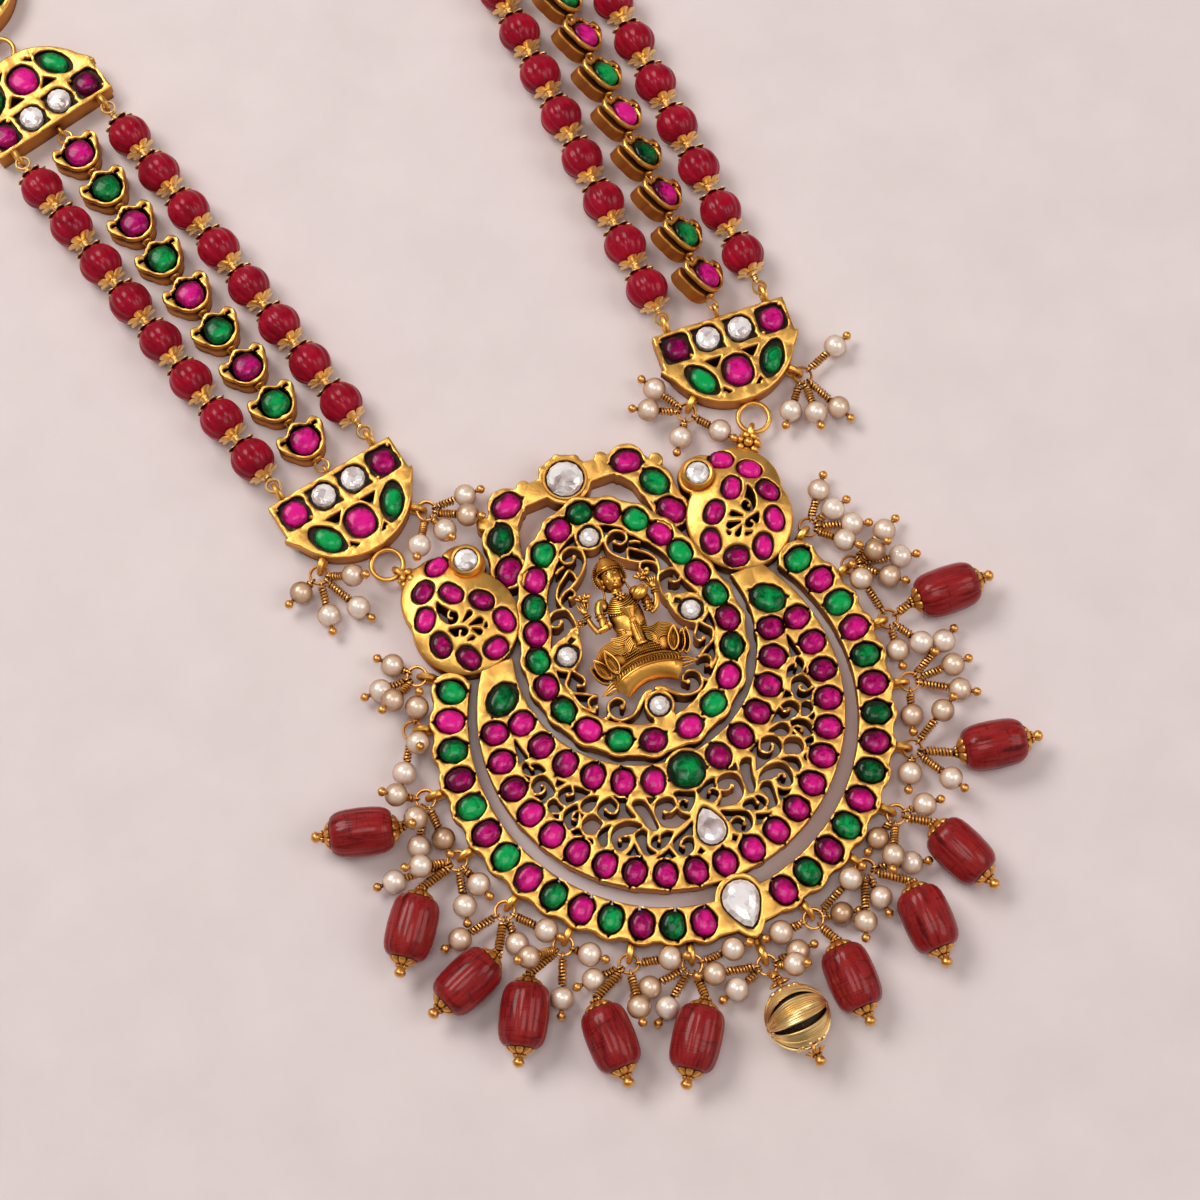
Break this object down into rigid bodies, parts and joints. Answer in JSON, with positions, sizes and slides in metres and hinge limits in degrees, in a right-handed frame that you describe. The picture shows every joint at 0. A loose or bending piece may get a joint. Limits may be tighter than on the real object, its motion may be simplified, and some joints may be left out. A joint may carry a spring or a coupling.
{
  "type": "temple jewellery necklace",
  "caption": "Long necklace of fluted red beads, stone links and half-moon spacers, with a pierced stone-set pendant, seated figure and fringe of pearls and barrel drops.",
  "frame": {"origin": "centre of the pendant's outer ring, on the pendant's back face, which lies on the surface", "axes": "+X to the pendant's right as seen from the front, +Y from the pendant's foot towards its crown and the neck, +Z out of the front"},
  "size_m": [0.1445, 0.3446, 0.011],
  "materials": {
    "gold": "antique gold, bright on top and dark in the recesses",
    "ruby": "foil-backed, polished",
    "emerald": "foil-backed, polished",
    "crystal": "foil-backed, polished",
    "coral": "polished red glass",
    "pearl": "pearly"
  },
  "bodies": {
    "root": {"pendant_frame": "gold", "figure": "gold", "rubies": "ruby", "emeralds": "emerald", "crystals": "crystal", "bell": "gold", "barrel_drop_1": "coral", "barrel_drop_2": "coral", "barrel_drop_3": "coral", "barrel_drop_4": "coral", "barrel_drop_5": "coral", "barrel_drop_6": "coral", "barrel_drop_7": "coral", "barrel_drop_8": "coral", "barrel_drop_9": "coral", "barrel_drop_10": "coral", "barrel_drop_11": "coral", "fringe_pearls": "pearl", "fringe_wires": "gold", "spacer_pearls": "pearl", "spacer_wires": "gold", "half_moon_left_1": "gold", "half_moon_left_2": "gold", "half_moon_left_3": "gold", "half_moon_right_1": "gold", "half_moon_right_2": "gold", "half_moon_right_3": "gold", "beads_left_outer": "coral", "beads_left_inner": "coral", "beads_right_outer": "coral", "beads_right_inner": "coral", "thread_left_outer": "gold", "thread_left_inner": "gold", "thread_right_outer": "gold", "thread_right_inner": "gold", "stone_link_left_1": "gold", "stone_link_left_2": "gold", "stone_link_left_3": "gold", "stone_link_left_4": "gold", "stone_link_left_5": "gold", "stone_link_left_6": "gold", "stone_link_left_7": "gold", "stone_link_left_8": "gold", "stone_link_left_9": "gold", "stone_link_right_1": "gold", "stone_link_right_2": "gold", "stone_link_right_3": "gold", "stone_link_right_4": "gold", "stone_link_right_5": "gold", "stone_link_right_6": "gold", "stone_link_right_7": "gold", "stone_link_right_8": "gold", "stone_link_right_9": "gold", "back_chain_left": "gold", "back_chain_right": "gold", "clasp": "gold"}
  },
  "joints": []
}
